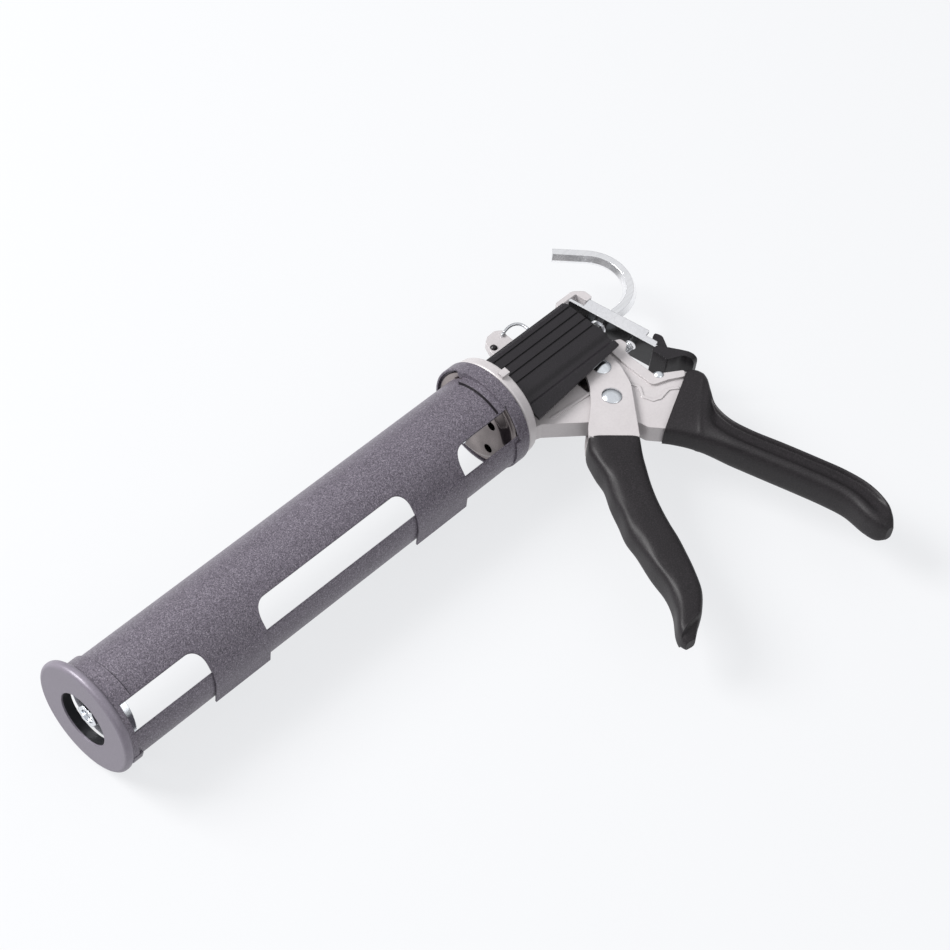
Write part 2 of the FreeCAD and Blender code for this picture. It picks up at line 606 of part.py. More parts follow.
def build_drive():
    """The tilting grip plates, the dog that carries them and the spring that sends them back."""
    half = size("dog_half")
    bore = size("rod_flats") / math.sqrt(3) + size("bore_gap")
    through = Part.makeCylinder(bore + 0.5, 60, Vec(-345, 0, 0), X_AXIS)
    pin_front = size("pin_x") + size("pin_r") + 0.3
    dog = prism_z([(pin_front, 25.0, 1.5), (pin_front, -8.5, 1), (pin_front + 5.0, -8.5, 1),
                   (pin_front + 5.0, 25.0, 1.5)], 2 * half).cut(through)
    keep(solid("drive_dog", dog), "drive_dog")
    t = size("grip_plate_t")
    plates = []
    for k in range(2):
        start = pin_front + 5.1 + k * (t + 0.1)
        plate = prism_z([(start, 12.2, 1), (start, -8.5, 1), (start + t, -8.5, 1), (start + t, 12.2, 1)],
                        2 * half).cut(through)
        plates.append(solid("grip_plate_%d" % k, plate))
    keep(group("grip_plates", *plates), "grip_plates")
    start = pin_front + 5.1 + 2 * (t + 0.1) + 0.1
    stop = size("wall_front") - size("bush_lip_t") - 0.3
    turns = size("spring_turns")
    wire = size("spring_wire")
    radius = size("spring_r")
    keep(solid("drive_spring", coil(start + wire / 2, stop - wire / 2, radius, turns, wire)), "drive_spring")


def coil(x_low, x_high, radius, turns, wire, y=0.0):
    """A helical spring about a line along X."""
    helix = Part.makeHelix((x_high - x_low) / turns, x_high - x_low, radius)
    helix.rotate(Vec(0, 0, 0), Y_AXIS, 90)
    helix.translate(Vec(x_low, y, 0))
    start = helix.Edges[0].valueAt(helix.Edges[0].FirstParameter)
    way = helix.Edges[0].tangentAt(helix.Edges[0].FirstParameter)
    circle = Part.Wire(Part.makeCircle(wire / 2, start, way))
    return Part.Wire(helix.Edges).makePipeShell([circle], True, True)


# ---------------------------------------------------------------- trigger

def build_trigger():
    """Steel cheeks either side of the web, a tang into the grip, and the drive pin."""
    inner = size("cheek_in")
    outer = size("cheek_out")
    cheek_points = [
        (-336.2, 17.5, 4), (-322.5, 15.8, 4), (-314.4, 28.4, 5), (-306.8, 36.0, 14), (-294.9, 44.9, 20),
        (-290.4, 49.4, 0.5), (-291.4, 52.4, 0.5), (-287.2, 61.0, 3), (-290.6, 73.5, 3),
        (-299.4, 73.2, 3), (-306.4, 66.4, 0.5), (-309.2, 67.0, 0.5), (-320.6, 54.1, 30),
        (-332.0, 41.0, 20), (-337.6, 28.0, 12)]
    cheeks = prism_z(cheek_points, 2 * outer).cut(prism_z([
        (-345, 5, 0), (-270, 5, 0), (-270, 100, 0), (-345, 100, 0)], 2 * inner))
    tang = prism_z([(-292.5, 59.5, 2), (-285.5, 66.5, 2), (-266.5, 104.0, 3), (-275.5, 108.5, 3),
                    (-298.0, 73.5, 2)], 2 * inner + 1.6)
    shape = cheeks.fuse(tang)
    pivot = Part.makeCylinder(size("pivot_r") + 0.05, 60, Vec(size("pivot_x"), size("pivot_y"), -30), Z_AXIS)
    pin = Part.makeCylinder(size("pin_r") + 0.02, 60, Vec(size("pin_x"), size("pin_y"), -30), Z_AXIS)
    keep(solid("trigger_lever", shape.cut(pivot.fuse(pin)).removeSplitter()), "trigger_lever")
    out = outer + 0.02
    rivet = Part.makeCylinder(size("pin_r"), 2 * out, Vec(0, 0, -out), Z_AXIS)
    for way in (1, -1):
        rivet = rivet.fuse(dome(5.0, 1.6, out, way))
    rivet.translate(Vec(size("pin_x"), size("pin_y"), 0))
    keep(solid("drive_pin", rivet.removeSplitter()), "drive_pin")
    return shape


def loft_grip(stations, power):
    """A soft bar lofted through ovals, squarer as power falls from 1.

    Each station is (front point, rear point, half thickness)."""
    wires = []
    for (fx, fy), (rx, ry), half in stations:
        middle = Vec((fx + rx) / 2, (fy + ry) / 2, 0)
        across = Vec(fx - rx, fy - ry, 0)
        a = across.Length / 2
        across.normalize()
        points = []
        count = 20
        for k in range(count):
            t = 2 * math.pi * k / count
            c = math.cos(t)
            s = math.sin(t)
            u = math.copysign(abs(c) ** power, c) * a
            w = math.copysign(abs(s) ** power, s) * half
            points.append(middle + across * u + Z_AXIS * w)
        curve = Part.BSplineCurve()
        curve.interpolate(points, PeriodicFlag=True)
        wires.append(Part.Wire(curve.toShape()))
    return Part.makeLoft(wires, True, False)


def build_grips(lever_shape, frame_shape):
    """The moulded rubber grips, each cut to the metal that it is moulded on."""
    trigger = loft_grip([
        ((-289.5, 50.0), (-309.4, 67.6), 9.2), ((-283.4, 58.5), (-304.6, 74.4), 9.6),
        ((-278.6, 71.8), (-297.6, 83.4), 9.7), ((-270.8, 85.5), (-289.6, 95.2), 9.7),
        ((-263.4, 100.0), (-282.8, 108.2), 9.6), ((-257.2, 118.5), (-276.6, 123.8), 9.5),
        ((-250.6, 138.0), (-268.8, 140.4), 9.3), ((-242.2, 150.6), (-259.8, 153.4), 8.9),
        ((-236.2, 157.2), (-249.2, 160.8), 8.0), ((-233.6, 162.2), (-241.5, 165.2), 6.2)], 0.5)
    inner = Part.makeBox(200, 200, 2 * size("cheek_in"), Vec(-450, 0, -size("cheek_in")))
    throat = inner.common(Part.makeCylinder(27.5, 40, Vec(size("pivot_x"), size("pivot_y"), -20), Z_AXIS))
    keep(solid("trigger_grip", trigger.cut(lever_shape).cut(throat)), "trigger_grip")
    handle = loft_grip([
        ((-323.0, 72.0), (-363.5, 53.0), 7.6), ((-326.4, 76.6), (-367.6, 58.8), 8.4),
        ((-330.4, 83.0), (-362.6, 68.8), 9.2), ((-334.2, 91.5), (-354.6, 80.0), 9.6),
        ((-338.0, 103.0), (-354.8, 96.5), 9.8), ((-345.4, 126.0), (-363.0, 120.5), 10.0),
        ((-352.4, 148.0), (-370.2, 144.0), 10.0), ((-356.4, 164.0), (-374.0, 163.5), 9.8),
        ((-354.6, 178.0), (-371.6, 180.5), 9.0), ((-355.0, 185.5), (-366.5, 188.6), 7.6),
        ((-357.4, 189.2), (-362.6, 190.6), 4.6)], 0.7)
    keep(solid("handle_grip", handle.cut(frame_shape)), "handle_grip")


# ---------------------------------------------------------------- release lever

def lever_point(along, behind):
    """A point on the tilted lever: along its face from the axis, and behind its front face."""
    tilt = math.radians(size("lever_tilt"))
    x0 = size("frame_rear") - 8.9
    return (x0 - along * math.sin(tilt) - behind * math.cos(tilt),
            along * math.cos(tilt) - behind * math.sin(tilt))


def build_release_lever():
    """Folded steel plate that locks the rod, its thumb tab and the spring that tilts it."""
    t = size("lever_t")
    half = size("lever_half")
    width = size("flange_w")
    corners = [lever_point(*p) + (r,) for p, r in (
        ((-19.4, 0), 0.6), ((-19.4, t), 0.6), ((43.0, t), 0.6), ((43.0, 0), 0.6))]
    web = prism_z(corners, 2 * half)
    side = [lever_point(*p) + (r,) for p, r in (
        ((-11.0, 0.6), 0.2), ((-11.0, width), 1.0), ((25.6, width + 0.6), 0.6), ((25.6, 4.0), 0.4),
        ((33.0, 4.0), 1.0), ((33.0, 0.6), 0.2))]
    flanges = prism_z(side, 2 * half).cut(prism_z(side, 2 * (half - 1.4)))
    shape = web.fuse(flanges)
    bore = size("rod_flats") / math.sqrt(3) + size("lever_bore_gap")
    hole = Part.makeCylinder(bore, 40, Vec(size("frame_rear") - 25, 0, 0), X_AXIS)
    seat = Part.makeCylinder(2.9, 8, Vec(size("frame_rear") - 18, 19.6, 0), X_AXIS)
    shape = shape.cut(hole.fuse(seat)).removeSplitter()
    keep(solid("release_plate", shape), "release_plate")
    tab_half = half + 0.9
    tab = prism_z([
        (-356.6, 33.4, 1), (-361.0, 33.2, 2), (-368.2, 44.0, 14), (-371.4, 49.4, 6), (-372.9, 52.6, 1),
        (-370.0, 52.8, 1), (-366.4, 47.2, 8), (-360.6, 44.6, 3), (-357.6, 43.4, 1)], 2 * tab_half)
    low = size("tab_low")
    round_r = size("tab_corner")
    ends = Part.Wire([e.toShape() for e in rounded([
        (low, tab_half, round_r), (20, tab_half, 0), (20, -tab_half, 0), (low, -tab_half, round_r)], "YZ")])
    ends.translate(Vec(-400, 0, 0))
    tab = tab.common(Part.Face(ends).extrude(Vec(100, 0, 0)))
    horn = prism_z([
        (-361.5, 36.5, 0.5), (-364.4, 31.6, 2), (-367.4, 29.4, 1), (-367.6, 25.4, 0.9), (-370.8, 24.2, 1.1),
        (-372.4, 28.2, 3), (-366.4, 38.5, 0.5)], 6.4)
    keep(solid("thumb_tab", tab.fuse(horn).cut(shape).removeSplitter()), "thumb_tab")
    seat_x = size("frame_rear") - 7.0
    spring = coil(lever_point(19.6, 0)[0] + 0.5, seat_x - 0.45, 2.1, 4.0, 0.7, 19.6)
    keep(solid("release_spring", spring), "release_spring")


# ---------------------------------------------------------------- piercing wire

def build_pierce_wire():
    """Bent spring wire for opening a cartridge's seal, hinged on the side of the frame's lug."""
    r = size("wire_r")
    x = size("wire_pivot_x")
    y = size("wire_pivot_y")
    lug = size("lug_half")
    side = lug + 0.1 + r
    bends = [(0, 0), (-3.5, -0.9), (-6.8, -1.3), (-10.4, -0.4), (-12.4, 1.8), (-12.9, 4.3), (-13.1, 9.7)]
    curve = Part.BSplineCurve()
    curve.interpolate([Vec(x + a, y + b, side) for a, b in bends])
    ring = Part.Wire(Part.makeCircle(r, curve.value(0), curve.tangent(0)[0]))
    arm = Part.Wire(curve.toShape()).makePipeShell([ring], True, True)
    pin = Part.makeCylinder(r, side + lug + 0.3, Vec(x, y, -lug - 0.3), Z_AXIS)
    knuckle = Part.makeSphere(r, Vec(x, y, side))
    head = dome(1.8, 0.9, lug + 0.1, -1)
    head.translate(Vec(x, y, 0))
    keep(solid("pierce_wire", arm.fuse([pin, knuckle, head]).removeSplitter()), "pierce_wire")
    stud = Part.makeCylinder(size("stud_r"), 2 * lug + 0.4, Vec(0, 0, -lug - 0.2), Z_AXIS)
    for way in (1, -1):
        stud = stud.fuse(dome(2.0, 1.3, lug + 0.05, way))
    stud.translate(Vec(size("stud_x"), size("stud_y"), 0))
    keep(solid("wire_stop", stud.removeSplitter()), "wire_stop")


build_barrel_shell()
build_barrel_rail()
build_front_cap()
build_rear_collar()
build_retaining_plate()
build_plate_screws()
build_push_rod()
build_plunger()
frame_node = build_frame()
doc.recompute()
build_pins()
build_housing_cover()
build_bushes()
build_drive()
build_grips(build_trigger(), frame_node.Shape)
build_release_lever()
build_pierce_wire()

doc.recompute()
FAULTS = [o.Label for o in doc.Objects if "Invalid" in o.State or "Error" in o.State]
for node in NODES:
    if node.Shape.isNull() or not node.Shape.isValid():
        FAULTS.append(node.Label + " shape")
    print("%-20s solids %d volume %.0f" % (node.Label, len(node.Shape.Solids), node.Shape.Volume))
if FAULTS:
    raise RuntimeError("failed: " + ", ".join(FAULTS))
os.makedirs("parts", exist_ok=True)
for node in NODES:
    node.Shape.exportStep("parts/%s.step" % node.Label)
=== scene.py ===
import json
import math

import bmesh
import bpy
from mathutils import Matrix, Vector


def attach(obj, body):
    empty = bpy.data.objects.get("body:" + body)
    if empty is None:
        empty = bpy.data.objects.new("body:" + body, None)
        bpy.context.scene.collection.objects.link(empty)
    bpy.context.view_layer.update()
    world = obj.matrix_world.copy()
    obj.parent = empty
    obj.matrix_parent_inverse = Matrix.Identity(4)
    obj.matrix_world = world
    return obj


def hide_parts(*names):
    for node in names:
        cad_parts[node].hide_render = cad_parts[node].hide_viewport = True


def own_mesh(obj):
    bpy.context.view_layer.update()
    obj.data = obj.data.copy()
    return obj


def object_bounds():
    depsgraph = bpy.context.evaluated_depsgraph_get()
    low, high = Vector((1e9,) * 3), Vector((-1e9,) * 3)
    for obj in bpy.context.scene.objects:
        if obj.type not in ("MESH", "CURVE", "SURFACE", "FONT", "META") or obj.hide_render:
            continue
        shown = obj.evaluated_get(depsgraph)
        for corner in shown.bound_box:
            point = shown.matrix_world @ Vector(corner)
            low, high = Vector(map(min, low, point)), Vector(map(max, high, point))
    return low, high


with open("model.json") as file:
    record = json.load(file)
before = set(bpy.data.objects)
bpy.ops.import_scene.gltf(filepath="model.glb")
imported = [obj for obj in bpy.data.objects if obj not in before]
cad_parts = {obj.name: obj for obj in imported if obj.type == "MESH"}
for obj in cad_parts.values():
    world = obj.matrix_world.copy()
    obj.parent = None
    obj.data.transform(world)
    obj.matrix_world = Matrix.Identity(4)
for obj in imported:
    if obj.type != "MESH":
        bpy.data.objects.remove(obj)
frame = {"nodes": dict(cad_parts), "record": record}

# Caulking gun lying on its right side. +X is the nozzle's way, +Y the handles', +Z is up.
# Sizes are in millimetres until they are multiplied by MM, which makes them metres.
cad_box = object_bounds()
nodes = frame["nodes"]
MM = 0.001
SHARP_ANGLE = math.radians(40.0)


# ---------------------------------------------------------------- material helpers

class Paint:
    """A principled material and the nodes that feed it, all in object coordinates."""

    def __init__(self, name, **sockets):
        self.material = bpy.data.materials.new(name)
        self.material.use_nodes = True
        self.tree = self.material.node_tree
        self.shader = self.tree.nodes["Principled BSDF"]
        for socket, value in sockets.items():
            self.shader.inputs[socket.replace("_", " ")].default_value = value
        self.coords = self.tree.nodes.new("ShaderNodeTexCoord").outputs["Object"]

    def link(self, source, target):
        self.tree.links.new(source, target)

    def stretched(self, x, y, z):
        """Object coordinates multiplied along each axis, so that a texture runs in streaks."""
        mapping = self.tree.nodes.new("ShaderNodeMapping")
        mapping.inputs["Scale"].default_value = (x, y, z)
        self.link(self.coords, mapping.inputs["Vector"])
        return mapping.outputs["Vector"]

    def noise(self, scale, detail=3.0, rough=0.55, where=None):
        node = self.tree.nodes.new("ShaderNodeTexNoise")
        node.inputs["Scale"].default_value = scale
        node.inputs["Detail"].default_value = detail
        node.inputs["Roughness"].default_value = rough
        self.link(where or self.coords, node.inputs["Vector"])
        return node.outputs["Fac"]

    def cells(self, scale, output="Distance"):
        node = self.tree.nodes.new("ShaderNodeTexVoronoi")
        node.inputs["Scale"].default_value = scale
        self.link(self.coords, node.inputs["Vector"])
        return node.outputs[output]

    def facing_forward(self):
        """How far the surface faces the nozzle, from 0 to 1."""
        coords = self.tree.nodes.new("ShaderNodeTexCoord")
        split = self.tree.nodes.new("ShaderNodeSeparateXYZ")
        self.link(coords.outputs["Normal"], split.inputs["Vector"])
        return split.outputs["X"]

    def ramp(self, source, *stops):
        """Turn a value into a colour or a grey; each stop is (position, grey or colour)."""
        node = self.tree.nodes.new("ShaderNodeValToRGB")
        ramp = node.color_ramp
        while len(ramp.elements) < len(stops):
            ramp.elements.new(1.0)
        for element, (position, value) in zip(ramp.elements, stops):
            element.position = position
            colour = (value,) * 3 if isinstance(value, (int, float)) else value
            element.color = (*colour, 1.0)
        self.link(source, node.inputs["Fac"])
        return node.outputs["Color"]

    def mix(self, kind, amount, first, second):
        """Mix two colours; amount is a number or an output."""
        node = self.tree.nodes.new("ShaderNodeMix")
        node.data_type = "RGBA"
        node.blend_type = kind
        for socket, value in ((0, amount), (6, first), (7, second)):
            if isinstance(value, (int, float)):
                node.inputs[socket].default_value = value
            elif isinstance(value, tuple):
                node.inputs[socket].default_value = (*value, 1.0)
            else:
                self.link(value, node.inputs[socket])
        return node.outputs[2]

    def place(self, axis):
        """Where a point lies along an axis of the object, in metres."""
        split = self.tree.nodes.new("ShaderNodeSeparateXYZ")
        self.link(self.coords, split.inputs["Vector"])
        return split.outputs[axis]

    def math(self, kind, *values):
        node = self.tree.nodes.new("ShaderNodeMath")
        node.operation = kind
        for index, value in enumerate(values):
            if isinstance(value, (int, float)):
                node.inputs[index].default_value = value
            else:
                self.link(value, node.inputs[index])
        return node.outputs["Value"]

    def between(self, axis, low, high):
        """1 where a point lies between two places along an axis, and 0 elsewhere."""
        above = self.math("GREATER_THAN", self.place(axis), low)
        below = self.math("LESS_THAN", self.place(axis), high)
        return self.math("MULTIPLY", above, below)

    def feed(self, socket, source):
        self.link(source, self.shader.inputs[socket])

    def edges(self, radius):
        """Soften the shading of sharp edges over the given radius."""
        node = self.tree.nodes.new("ShaderNodeBevel")
        node.samples = 4
        node.inputs["Radius"].default_value = radius
        return node.outputs["Normal"]

    def bump(self, *layers, normal=None):
        """Stack bump layers of (height, strength, depth in metres)."""
        for height, strength, depth in layers:
            node = self.tree.nodes.new("ShaderNodeBump")
            node.inputs["Strength"].default_value = strength
            node.inputs["Distance"].default_value = depth
            self.link(height, node.inputs["Height"])
            if normal is not None:
                self.link(normal, node.inputs["Normal"])
            normal = node.outputs["Normal"]
        self.feed("Normal", normal)


# ---------------------------------------------------------------- materials

FACE_REAR_X = -4.6 * MM
FACE_COVER = 0.75
HOLE_SHADE_X = -0.9 * MM
HOLE_SHADE_RADIUS = 16.7 * MM
HOLE_SHADE = (0.010, 0.010, 0.012)
# Painted shadow: dark lines along the edges of the cap's and collar's tabs, for the shade under each
# edge.
TAB_SHADOW_HALF_WIDTH = 0.38 * MM
TAB_SHADOW_COLOUR = (0.012, 0.010, 0.013)
CAP_TAB_SHADOW = (-14.95, -30.0, 16.0)
COLLAR_TAB_SHADOW = (-256.7, -11.0, 16.0)
# Painted shade: the spigot forward of this place is near black, partly for its bare metal and partly
# for the shade inside the collar.
SPIGOT_X = -269.4 * MM
SPIGOT_SHADE = (0.05, 0.045, 0.05)


def cap_front(paint, base, face):
    """Plainer paint on the cap's front, and deep shade on the wall of the nozzle hole."""
    front = paint.math("GREATER_THAN", paint.place("X"), FACE_REAR_X)
    base = paint.mix("MIX", paint.math("MULTIPLY", front, FACE_COVER), base, face)
    across = paint.math("ADD", paint.math("POWER", paint.place("Y"), 2.0),
                        paint.math("POWER", paint.place("Z"), 2.0))
    inside = paint.math("LESS_THAN", across, HOLE_SHADE_RADIUS ** 2)
    behind = paint.math("LESS_THAN", paint.place("X"), HOLE_SHADE_X)
    return paint.mix("MIX", paint.math("MULTIPLY", inside, behind), base, HOLE_SHADE)


def painted_tab_shadow(paint, base, x, low_y, high_y):
    """Painted shadow: a dark line where a tab's edge lies on the sheet, for the shade in the gap
    under the edge.
    """
    line = paint.math("COMPARE", paint.place("X"), x * MM, TAB_SHADOW_HALF_WIDTH)
    line = paint.math("MULTIPLY", line, paint.between("Y", low_y * MM, high_y * MM))
    return paint.mix("MIX", paint.math("MULTIPLY", line, 0.9), base, TAB_SHADOW_COLOUR)


def powder_coat(name, low, high, fleck, amount, grain_depth, face=None, tab_shadows=()):
    """Textured metallic powder coat: mottled grain with small bright flecks.

    face is a plainer colour for the cap's front. Each painted tab shadow is a dark line along a
    tab's edge, given as (x, lowest y, highest y) in mm.
    """
    paint = Paint(name, Metallic=0.25)
    grain = paint.noise(1300.0, 4.0, 0.75)
    base = paint.ramp(grain, (0.38, low), (0.62, high))
    tone = paint.ramp(paint.noise(18.0, 2.0), (0.3, 0.93), (0.7, 1.0))
    base = paint.mix("MULTIPLY", 1.0, base, tone)
    spark = paint.ramp(paint.cells(2400.0, output="Color"), (0.62, 0.0), (0.90, 1.0))
    base = paint.mix("MIX", paint.math("MULTIPLY", spark, amount), base, fleck)
    if face is not None:
        base = cap_front(paint, base, face)
    # Painted shadow lines along the tabs' edges.
    for tab_shadow in tab_shadows:
        base = painted_tab_shadow(paint, base, *tab_shadow)
    paint.feed("Base Color", base)
    paint.feed("Roughness", paint.ramp(grain, (0.3, 0.34), (0.7, 0.50)))
    paint.bump((grain, 0.8, grain_depth), (paint.noise(700.0, 2.0), 0.35, 2 * grain_depth),
               normal=paint.edges(0.35 * MM))
    return paint.material


def satin_paint(name, colour, dark):
    """Smooth satin paint over a casting, with faint orange peel, and near black on the spigot:
    partly its bare metal, partly painted shade inside the collar.
    """
    paint = Paint(name, Metallic=0.12)
    patch = paint.noise(55.0, 4.0, 0.6)
    base = paint.ramp(patch, (0.30, dark), (0.62, colour))
    speck = paint.ramp(paint.noise(900.0, 3.0, 0.7), (0.25, 0.92), (0.6, 1.0))
    base = paint.mix("MULTIPLY", 1.0, base, speck)
    # Painted shade on the spigot where it sits inside the collar; it also stands for bare metal.
    spigot = paint.math("GREATER_THAN", paint.place("X"), SPIGOT_X)
    paint.feed("Base Color", paint.mix("MIX", spigot, base, SPIGOT_SHADE))
    paint.feed("Roughness", paint.ramp(paint.noise(160.0, 3.0), (0.3, 0.30), (0.7, 0.44)))
    fine = (paint.noise(700.0, 2.0), 0.12, 0.06 * MM)
    peel = (paint.noise(90.0, 2.0), 0.10, 0.25 * MM)
    paint.bump(fine, peel, normal=paint.edges(0.55 * MM))
    return paint.material


def zinc_plate(name, bright, dim, rough_low, rough_high, streak=(1.0, 1.0, 1.0), front=None):
    """Bright zinc plate: patchy blue-white metal with fine working marks.

    front is a grey that darkens the faces towards the nozzle: a painted dark reflection, set by
    which way each face points.
    """
    paint = Paint(name, Metallic=1.0)
    patch = paint.noise(45.0, 2.0, 0.5)
    base = paint.ramp(patch, (0.34, dim), (0.62, bright))
    marks = paint.noise(700.0, 3.0, 0.6, where=paint.stretched(*streak))
    base = paint.mix("MULTIPLY", 1.0, base, paint.ramp(marks, (0.2, 0.90), (0.6, 1.0)))
    if front is not None:
        # Painted reflection: faces towards the nozzle are darkened by their direction.
        reflection_shade = paint.ramp(paint.facing_forward(), (0.3, 1.0), (0.8, front))
        base = paint.mix("MULTIPLY", 1.0, base, reflection_shade)
    paint.feed("Base Color", base)
    paint.feed("Roughness", paint.ramp(paint.noise(90.0, 2.0), (0.3, rough_low), (0.7, rough_high)))
    paint.bump((marks, 0.10, 0.03 * MM), normal=paint.edges(0.4 * MM))
    return paint.material


def black_moulding(name, shade, rough_low, rough_high, grain, depth, shine):
    """Moulded black plastic or rubber with a fine leathery grain."""
    paint = Paint(name, IOR=1.48, Specular_IOR_Level=shine)
    cells = paint.cells(grain)
    fine = paint.noise(1.3 * grain, 3.0, 0.7)
    cloud = paint.noise(40.0, 3.0)
    light = tuple(3.4 * c for c in shade)
    base = paint.mix("MIX", paint.ramp(fine, (0.45, 0.0), (0.72, 1.0)), shade, light)
    tone = paint.ramp(cloud, (0.3, 0.85), (0.7, 1.0))
    paint.feed("Base Color", paint.mix("MULTIPLY", 1.0, base, tone))
    paint.feed("Roughness", paint.ramp(cloud, (0.3, rough_low), (0.7, rough_high)))
    paint.bump((cells, 0.4, depth), (fine, 0.4, 0.6 * depth), normal=paint.edges(0.5 * MM))
    return paint.material


MATERIALS = {
    # The barrel's coat carries the painted shadow lines along the tabs' edges.
    "barrel_paint": powder_coat("barrel_powder_coat", (0.054, 0.047, 0.060), (0.158, 0.138, 0.171),
                                (0.38, 0.35, 0.40), 0.45, 0.10 * MM,
                                tab_shadows=(CAP_TAB_SHADOW, COLLAR_TAB_SHADOW)),
    "cap_paint": powder_coat("cap_powder_coat", (0.056, 0.048, 0.062), (0.162, 0.142, 0.175),
                             (0.36, 0.33, 0.38), 0.42, 0.08 * MM, face=(0.215, 0.194, 0.232)),
    "frame_paint": satin_paint("frame_satin_paint", (0.50, 0.472, 0.476), (0.475, 0.447, 0.451)),
    "zinc": zinc_plate("bright_zinc", (0.84, 0.87, 0.90), (0.74, 0.77, 0.81), 0.16, 0.28),
    "rod_steel": zinc_plate("drawn_zinc", (0.96, 0.96, 0.97), (0.90, 0.905, 0.92), 0.20, 0.30,
                            (0.03, 1.0, 1.0)),
    "plate_steel": zinc_plate("brown_steel", (0.34, 0.30, 0.295), (0.16, 0.14, 0.14), 0.18, 0.34),
    "cover_plastic": black_moulding("cover_plastic", (0.0070, 0.0058, 0.0072), 0.24, 0.32, 1800.0,
                                    0.012 * MM, 0.40),
    "grip_rubber": black_moulding("grip_rubber", (0.0080, 0.0066, 0.0077), 0.44, 0.56, 1300.0,
                                  0.10 * MM, 0.34),
    "spring_steel": zinc_plate("spring_wire", (0.72, 0.73, 0.75), (0.60, 0.61, 0.64), 0.20, 0.30),
}
# A brighter copy of the zinc for the release plate, with a painted dark reflection on its faces
# towards the nozzle.
ZINC_PAINTED_REFLECTION = zinc_plate("zinc_painted_reflection", (0.97, 0.965, 0.98), (0.92, 0.92, 0.94), 0.16, 0.26,
                        front=0.09)


def dress(obj, slot):
    """Give an object the one material of a record slot."""
    obj.data.materials.clear()
    obj.data.materials.append(MATERIALS[slot])


for part in frame["record"]["subparts"]:
    obj = nodes[part["node"]]
    obj.data.materials.clear()
    obj.data.materials.append(MATERIALS[part["material_slot"]])
# The release plate takes the zinc with the painted dark reflection.
nodes["release_plate"].data.materials[0] = ZINC_PAINTED_REFLECTION


# ---------------------------------------------------------------- mesh helpers

def add_object(name, mesh, body, slot):
    """Put a mesh in the scene as a piece of the object that rides on a body."""
    obj = bpy.data.objects.new(name, mesh)
    bpy.context.scene.collection.objects.link(obj)
    mesh.shade_smooth()
    mesh.set_sharp_from_angle(angle=SHARP_ANGLE)
    dress(obj, slot)
    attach(obj, body)
    return obj


def through(points, at):
    """A smooth curve through points (a list of tuples), at a place from 0 to 1 along it."""
    place = at * (len(points) - 1)
    k = min(int(place), len(points) - 2)
    t = place - k
    p0, p1, p2, p3 = (Vector(points[min(max(i, 0), len(points) - 1)]) for i in range(k - 1, k + 3))
    return 0.5 * (2 * p1 + (p2 - p0) * t + (2 * p0 - 5 * p1 + 4 * p2 - p3) * t ** 2
                  + (3 * p1 - p0 - 3 * p2 + p3) * t ** 3)


def step(low, high, value):
    """A smooth rise from 0 at low to 1 at high."""
    t = min(max((value - low) / (high - low), 0.0), 1.0)
    return t * t * (3 - 2 * t)


RINGS = 130
AROUND = 72


def moulded_bar(name, front, rear, halves, power, relief):
    """A closed bar from stations: front and rear edge points (mm), and half thicknesses.

    power(s) sets the section: 1 is an oval, and it nears a square as it falls to 0.
    relief(s, u) gives a factor on the thickness at place s along and u across (-1 rear, 1 front).
    """
    mesh = bmesh.new()
    loops = []
    for i in range(RINGS + 1):
        s = i / RINGS
        near = through(front, s)
        far = through(rear, s)
        half = through([(h,) * 2 for h in halves], s)[0]
        middle = (near + far) / 2
        across = (near - far) / 2
        loop = []
        for j in range(AROUND):
            angle = 2 * math.pi * j / AROUND
            u = math.copysign(abs(math.cos(angle)) ** power(s), math.cos(angle))
            w = math.copysign(abs(math.sin(angle)) ** power(s), math.sin(angle))
            spot = middle + across * u
            loop.append(mesh.verts.new((spot.x * MM, spot.y * MM, w * half * relief(s, u) * MM)))
        loops.append(loop)
    for a, b in zip(loops, loops[1:]):
        for j in range(AROUND):
            k = (j + 1) % AROUND
            mesh.faces.new((a[j], a[k], b[k], b[j]))
    mesh.faces.new(loops[0])
    mesh.faces.new(reversed(loops[-1]))
    bmesh.ops.recalc_face_normals(mesh, faces=mesh.faces)
    data = bpy.data.meshes.new(name)
    mesh.to_mesh(data)
    mesh.free()
    return data


# ---------------------------------------------------------------- grips

def build_trigger_grip():
    """Rubber trigger grip: finger waves in front, flat sides, and a fold across the tip."""
    front = [(-290.0, 49.6), (-285.0, 54.4), (-281.4, 62.5), (-278.0, 71.8), (-271.6, 82.0),
             (-267.0, 92.0), (-261.8, 101.4), (-258.8, 111.1), (-254.8, 123.3), (-251.2, 136.0),
             (-245.0, 146.6), (-237.0, 155.4), (-234.2, 160.4), (-233.9, 164.0)]
    rear = [(-309.4, 67.6), (-304.6, 73.6), (-299.2, 81.0), (-293.4, 89.0), (-288.4, 97.0),
            (-284.0, 105.4), (-280.4, 113.6), (-277.2, 121.8), (-273.0, 130.6), (-268.0, 140.0),
            (-261.4, 150.2), (-252.4, 157.8), (-245.4, 161.6), (-239.4, 165.2)]
    halves = [9.2, 9.5, 9.7, 9.7, 9.7, 9.7, 9.6, 9.5, 9.4, 9.3, 9.0, 8.4, 7.2, 4.4]

    def relief(s, u):
        waves = 0.10 * math.sin(s * 26.0 + 0.6) * step(0.55, 1.0, u) * step(0.95, 0.7, s)
        bend = s - 0.03 * u
        fold = 0.26 * step(0.885, 0.90, bend)
        lip = 0.05 * math.exp(-((bend - 0.88) / 0.010) ** 2)
        return 1.0 - waves - fold + lip

    def section(s):
        return 0.30 + 0.24 * step(0.0, 0.14, s)

    data = moulded_bar("trigger_grip_rubber", front, rear, halves, section, relief)
    grip = add_object("trigger_grip_rubber", data, "trigger", "grip_rubber")
    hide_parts("trigger_grip")


